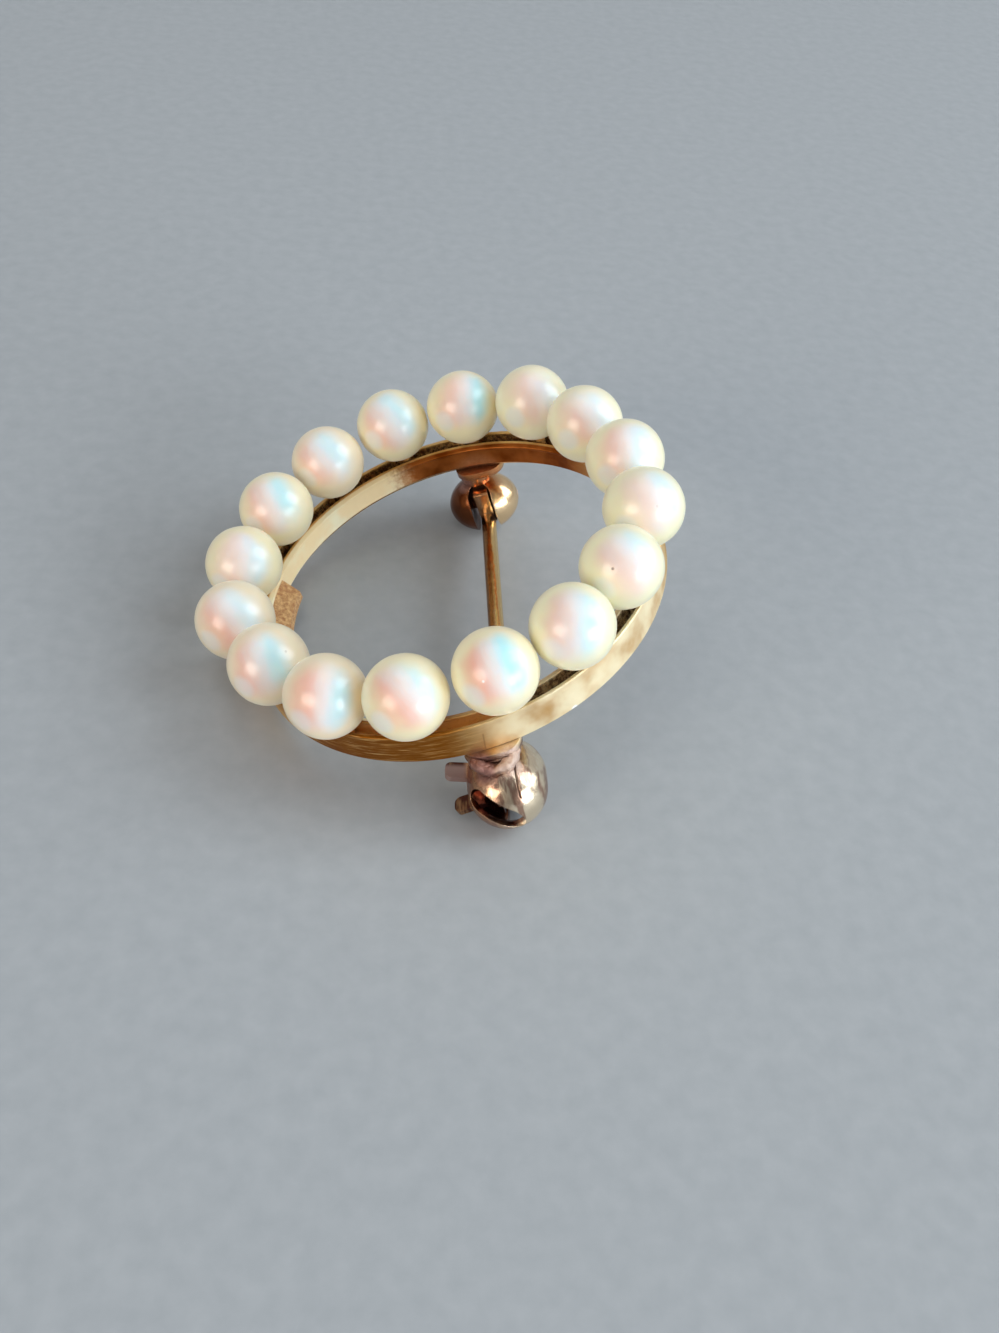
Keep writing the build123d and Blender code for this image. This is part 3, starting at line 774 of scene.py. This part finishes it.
def zone_place(tree, facing, wide, number):
    """Place on the colour steps, from the left of a pearl to its right, a little wavering."""
    slant = ZONE_SLANT + ZONE_SWING * math.sin(number * SWING_STEP)
    across = along(tree, facing, ACROSS * math.cos(slant) + UPWARD * math.sin(slant))
    upward = along(tree, facing, UPWARD)
    stretched = add(
        tree, "ShaderNodeCombineXYZ", None, X=times(tree, across, FINE_ACROSS),
        Y=times(tree, upward, FINE_UPWARD), Z=number * FINE_SEED,
    ).outputs[0]
    fine = minus(tree, noise_value(tree, stretched, *FINE_NOISE), NOISE_MIDDLE)
    waver = plus(tree, times(tree, wide, WIDE_SHARE), times(tree, fine, FINE_SHARE))
    shifted = plus(tree, across, ZONE_SHIFT * math.sin(number * SHIFT_STEP))
    # From -1 to 1 across the pearl, onto the steps' 0 to 1
    return plus(tree, times(tree, plus(tree, shifted, waver), 0.5), 0.5)


def zone_steps(looks, body):
    """The nacre's colours from left to right: body, rose that is partly overtone and partly painted
    reflection, painted white highlight, painted blue reflection and body again.
    """
    return (
        (0.05, body),
        (0.32, blend(ROSY_WHITE_HIGHLIGHT, ROSE_OVERTONE_AND_REFLECTION, looks["rose"])),
        (0.46, ROSY_WHITE_HIGHLIGHT),
        (0.58, WHITE_HIGHLIGHT),
        (0.70, blend(BLUE_WHITE_REFLECTION, BLUE_REFLECTION, looks["blue"] * BLUE_FULL)),
        (0.80, blend(BLUE_WHITE_REFLECTION, BLUE_REFLECTION, looks["blue"] * BLUE_FADING)),
        (0.97, body),
    )


def nacre_colour_and_highlight(tree, facing, point, looks, number):
    """Body colour, with a painted highlight and rose and blue reflections on the front and a
    painted pale reflection low at its left.
    """
    body = BODY_COLOURS[looks["body"]]
    wide = minus(tree, noise_value(tree, point, *WIDE_NOISE), NOISE_MIDDLE)
    place = zone_place(tree, facing, wide, number)
    # Painted highlight and reflections: rose, white and blue across each pearl's front
    zones = colour_steps(tree, place, zone_steps(looks, body))
    reach = plus(tree, along(tree, facing, FRONT), times(tree, wide, WIDE_REACH))
    base = mix_colour(tree, ramp(tree, reach, *ZONES_FRONT), body, zones)
    # Painted reflection: a pale blue-white spot low at the left of the pearl's front
    low = ramp(tree, along(tree, facing, LOW_REFLECTION), *LOW_REFLECTION_EDGE)
    return mix_colour(tree, times(tree, low, LOW_REFLECTION_SHARE), base, BLUE_WHITE_REFLECTION)


def add_specks(tree, base, normal, local, number, radius):
    """Small pits and specks of one pearl, in its colour and its normal."""
    for pearl_number, way, shade, share, depth in SPECKS:
        if pearl_number == number:
            centre = Vector(way).normalized() * radius
            speck = ramp(tree, distance_to(tree, local, centre), *SPECK_EDGE)
            base = mix_colour(tree, times(tree, speck, share), base, shade)
            normal = bump(tree, minus(tree, 1.0, speck), depth, SPECK_HEIGHT, normal)
    return base, normal


def pearl_material(name, looks, number, radius):
    """Nacre: a soft body colour with a painted highlight and painted rose and blue reflections, the
    rose partly its overtone, under a satin gloss.
    """
    material, shader = new_material(name)
    tree = material.node_tree
    place = add(tree, "ShaderNodeTexCoord").outputs["Object"]
    scaling = add(tree, "ShaderNodeVectorMath", {"operation": "SCALE"}, i0=place, Scale=1.0 / MM)
    local = scaling.outputs[0]
    seed = tuple(number * step for step in NACRE_SEED)
    settings = {"operation": "ADD"}
    point = add(tree, "ShaderNodeVectorMath", settings, i0=local, i1=seed).outputs[0]
    facing = add(tree, "ShaderNodeVectorMath", {"operation": "NORMALIZE"}, i0=local).outputs[0]
    base = nacre_colour_and_highlight(tree, facing, point, looks, number)
    normal = bump(tree, noise_value(tree, point, *SKIN_NOISE), *SKIN_BUMP)
    base, normal = add_specks(tree, base, normal, local, number, radius)
    tree.links.new(base, shader.inputs["Base Color"])
    tree.links.new(normal, shader.inputs["Normal"])
    shader.inputs["Roughness"].default_value = 0.30
    shader.inputs["IOR"].default_value = 1.62
    shader.inputs["Subsurface Weight"].default_value = 0.6
    shader.inputs["Subsurface Scale"].default_value = 1.2 * MM
    shader.inputs["Subsurface Radius"].default_value = (1.0, 0.8, 0.65)
    shader.inputs["Coat Weight"].default_value = 0.5
    shader.inputs["Coat Roughness"].default_value = 0.22
    shader.inputs["Sheen Weight"].default_value = 0.45
    shader.inputs["Sheen Roughness"].default_value = 0.5
    shader.inputs["Sheen Tint"].default_value = SHEEN_TINT
    return material


def floor_material():
    """Plain grey card, very slightly mottled."""
    material, shader = new_material("floor_card")
    tree = material.node_tree
    place = add(tree, "ShaderNodeTexCoord").outputs["Object"]
    speck = noise_value(tree, place, *FLOOR_NOISE)
    tree.links.new(mix_colour(tree, speck, *FLOOR_COLOURS), shader.inputs["Base Color"])
    shader.inputs["Roughness"].default_value = FLOOR_ROUGH
    return material


# Pieces


def repaint(node, material):
    """Gives every face of a CAD node this material."""
    node.data.materials.clear()
    node.data.materials.append(material)


def pearl_profile(radius):
    """Points from the inner end of the drilled hole's wall round the pearl towards its crown."""
    start = math.asin(DRILL_RADIUS / radius)
    points = [(DRILL_RADIUS, DRILL_RISE)]
    for step in range(PEARL_RINGS):
        turn = start + (math.pi - start) * step / PEARL_RINGS
        points.append((radius * math.sin(turn), -radius * math.cos(turn)))
    return points


def pearl_point(across, height, turn, radius, aside):
    """One point of a pearl whose hole stands to one side of its middle."""
    point = Vector((across * math.cos(turn), across * math.sin(turn), height))
    if point.length < radius * SKIN_SHARE:
        return point + aside
    low = max(0.0, -height / radius)
    if aside.length == 0.0 or low == 0.0:
        return point
    swing = math.asin(aside.length / radius) * low**2
    axis = Vector((0.0, 0.0, -1.0)).cross(aside)
    return Matrix.Rotation(swing, 3, axis) @ point


def make_uneven(work, radius, seed):
    """Lumps and ripples on the outside of a pearl, then metres in place of millimetres."""
    offset = Vector([seed * step for step in LUMP_SEED])
    for vertex in work.verts:
        if vertex.co.length > radius * SKIN_SHARE:
            direction = vertex.co.normalized()
            lump = noise.noise(direction * LUMP_SCALE + offset) * PEARL_LUMP
            ripple = noise.noise(direction * RIPPLE_SCALE + offset) * PEARL_RIPPLE
            vertex.co *= 1.0 + lump + ripple
        vertex.co *= MM


def finished_mesh(name, work):
    """A smooth mesh from finished work."""
    for face in work.faces:
        face.smooth = True
    mesh = bpy.data.meshes.new(name)
    work.to_mesh(mesh)
    work.free()
    return mesh


def pearl_mesh(name, radius, seed, aside):
    """A drilled, slightly uneven pearl, its hole pointing to -Z."""
    work = bmesh.new()
    turns = [2.0 * math.pi * step / PEARL_SEGMENTS for step in range(PEARL_SEGMENTS)]
    rows = []
    for across, height in pearl_profile(radius):
        row = [pearl_point(across, height, turn, radius, aside) for turn in turns]
        rows.append([work.verts.new(point) for point in row])
    bottom = work.verts.new(Vector((0.0, 0.0, DRILL_RISE)) + aside)
    crown = work.verts.new((0.0, 0.0, radius))
    for step in range(PEARL_SEGMENTS):
        after = (step + 1) % PEARL_SEGMENTS
        work.faces.new((bottom, rows[0][after], rows[0][step]))
        work.faces.new((rows[-1][step], rows[-1][after], crown))
        for lower, upper in zip(rows, rows[1:]):
            work.faces.new((lower[step], lower[after], upper[after], upper[step]))
    make_uneven(work, radius, seed)
    return finished_mesh(name, work)


def solder_row(work, turn, steps):
    """One round section of the solder, in metres."""
    outward = Vector((math.cos(turn), math.sin(turn), 0.0))
    middle = outward * SOLDER_RADIUS
    row = []
    for step in range(steps):
        angle = 2.0 * math.pi * step / steps
        skin = outward * math.cos(angle) + Vector((0.0, 0.0, math.sin(angle)))
        lump = noise.fractal(middle + skin * SOLDER_THICKNESS, *SOLDER_FRACTAL) * SOLDER_LUMP
        row.append(work.verts.new((middle + skin * (SOLDER_THICKNESS + lump)) * MM))
    return row


def solder_mesh(name):
    """A lumpy ring of solder in the ring's frame, about its own middle."""
    work = bmesh.new()
    rounds, steps = SOLDER_STEPS
    rows = [solder_row(work, 2.0 * math.pi * step / rounds, steps) for step in range(rounds)]
    for row, after in zip(rows, rows[1:] + rows[:1]):
        for step in range(steps):
            beside = (step + 1) % steps
            work.faces.new((row[step], after[step], after[beside], row[beside]))
    return finished_mesh(name, work)


def make_solder(material):
    """The solder round the neck of the catch, placed in its mesh, so its origin is the world's."""
    solder = bpy.data.objects.new("catch_solder", solder_mesh("catch_solder"))
    bpy.context.collection.objects.link(solder)
    turned = Matrix.Rotation(-RING_LEAN, 3, "Y")
    place = Matrix.Translation(RING_CENTRE + turned @ SOLDER_MIDDLE * MM)
    solder.data.transform(place @ turned.to_4x4())
    solder.data.materials.append(material)
    bpy.context.view_layer.update()
    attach(solder, "brooch")


def hole_offset(centre):
    """How far a pearl's hole stands from its middle, towards the circle of the pegs."""
    in_ring = Matrix.Rotation(RING_LEAN, 3, "Y") @ (centre - RING_CENTRE) / MM
    outward = Vector((in_ring.x, in_ring.y, 0.0))
    return outward.normalized() * (PEARL_CIRCLE_RADIUS - outward.length)


def make_pearl(index):
    """One pearl in the place of its CAD node."""
    node = "pearl_%02d" % index
    low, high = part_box(node)
    centre = (Vector(low) + Vector(high)) / 2.0
    radius = (high[1] - low[1]) / 2.0 / MM
    name = "nacre_pearl_%02d" % index
    pearl = bpy.data.objects.new(name, pearl_mesh(name, radius, index, hole_offset(centre)))
    bpy.context.collection.objects.link(pearl)
    pearl.data.transform(Matrix.Rotation(-RING_LEAN, 4, "Y"))
    pearl.location = centre
    looks = PEARL_LOOKS[index - 1]
    pearl.data.materials.append(pearl_material("nacre_%02d" % index, looks, index, radius))
    bpy.context.view_layer.update()
    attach(pearl, "brooch")
    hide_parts(node)


# Camera, light, floor


def make_camera():
    """The camera of the photograph."""
    data = bpy.data.cameras.new("photo_camera")
    data.sensor_fit = "VERTICAL"
    data.sensor_height = SENSOR_HEIGHT
    data.lens = SENSOR_HEIGHT * FOCAL_TO_HEIGHT
    data.clip_start = CLIP_START
    data.clip_end = CLIP_END
    camera = bpy.data.objects.new("photo_camera", data)
    bpy.context.collection.objects.link(camera)
    facing = (LOOK_AT - EYE).to_track_quat("-Z", "Y").to_matrix().to_4x4()
    roll = Matrix.Rotation(CAMERA_ROLL, 4, "Z")
    camera.matrix_world = Matrix.Translation(EYE) @ facing @ roll
    bpy.context.scene.camera = camera


def soft_light(name, direction, distance, width, height, power, tint):
    """A soft panel that faces the brooch."""
    data = bpy.data.lights.new(name, "AREA")
    data.shape = "RECTANGLE"
    data.size = width
    data.size_y = height
    data.energy = power
    data.color = tint
    lamp = bpy.data.objects.new(name, data)
    bpy.context.collection.objects.link(lamp)
    place = RING_CENTRE + Vector(direction).normalized() * distance
    facing = (RING_CENTRE - place).to_track_quat("-Z", "Y").to_matrix().to_4x4()
    lamp.matrix_world = Matrix.Translation(place) @ facing


def make_room():
    """Even light from all round, dimmer towards the front."""
    world = bpy.data.worlds.new("soft_room")
    world.use_nodes = True
    tree = world.node_tree
    _, y, z = split(tree, add(tree, "ShaderNodeTexCoord").outputs["Generated"])
    sky = mix_colour(tree, ramp(tree, z, *SKY_RISE), SKY_LOW, SKY_HIGH)
    front = times(tree, ramp(tree, y, *SKY_FRONT_WAY), SKY_FRONT_SHARE)
    background = tree.nodes["Background"]
    tree.links.new(mix_colour(tree, front, sky, SKY_FRONT), background.inputs[0])
    background.inputs[1].default_value = SKY_STRENGTH
    bpy.context.scene.world = world


def make_floor():
    """The plain floor."""
    mesh = bpy.data.meshes.new("floor")
    corners = [(-1, -1), (1, -1), (1, 1), (-1, 1)]
    points = [(x * FLOOR_HALF, y * FLOOR_HALF, 0) for x, y in corners]
    mesh.from_pydata(points, [], [(0, 1, 2, 3)])
    floor = bpy.data.objects.new("floor", mesh)
    bpy.context.collection.objects.link(floor)
    mesh.materials.append(floor_material())


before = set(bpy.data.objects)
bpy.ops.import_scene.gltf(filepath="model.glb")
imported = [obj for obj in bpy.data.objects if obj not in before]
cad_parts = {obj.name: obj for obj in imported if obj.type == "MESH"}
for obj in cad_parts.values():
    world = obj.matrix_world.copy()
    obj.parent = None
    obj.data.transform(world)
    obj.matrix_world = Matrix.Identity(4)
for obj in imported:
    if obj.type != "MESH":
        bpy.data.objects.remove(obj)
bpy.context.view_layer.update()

make_camera()
for panel in PANELS:
    soft_light(*panel)
make_room()
make_floor()

# The gold, with its wear and its painted light and shade
gold = gold_material("worn_gold_with_painted_light")
for node_name in METAL_NODES:
    repaint(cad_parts[node_name], gold)

make_solder(gold)

for number in range(1, PEARL_COUNT + 1):
    make_pearl(number)

bpy.context.scene.view_settings.view_transform = "Standard"
bpy.context.view_layer.update()
